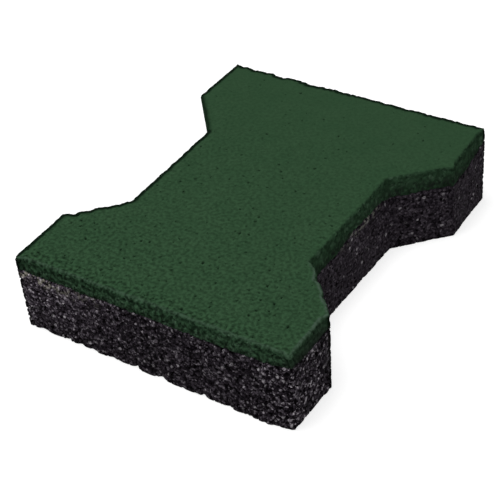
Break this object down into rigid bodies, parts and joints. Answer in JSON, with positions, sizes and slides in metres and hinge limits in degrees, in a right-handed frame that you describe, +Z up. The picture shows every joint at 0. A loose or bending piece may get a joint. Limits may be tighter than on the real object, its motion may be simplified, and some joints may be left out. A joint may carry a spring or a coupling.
{
  "type": "rubber paver",
  "caption": "Dog-bone interlocking rubber paver: a green wear layer bonded on a thick black crumb-rubber base.",
  "frame": {"origin": "centre of the underside", "axes": "+X across the heads, +Y from head to head, +Z up out of the walking surface"},
  "size_m": [0.16, 0.2, 0.045],
  "materials": {
    "wear_rubber": "matt dyed fine granulate with small dark pits",
    "base_rubber": "matt coarse black crumb with open pores and grey flecks"
  },
  "bodies": {
    "root": {"wear_layer": "wear_rubber", "base_layer": "base_rubber"}
  },
  "joints": []
}
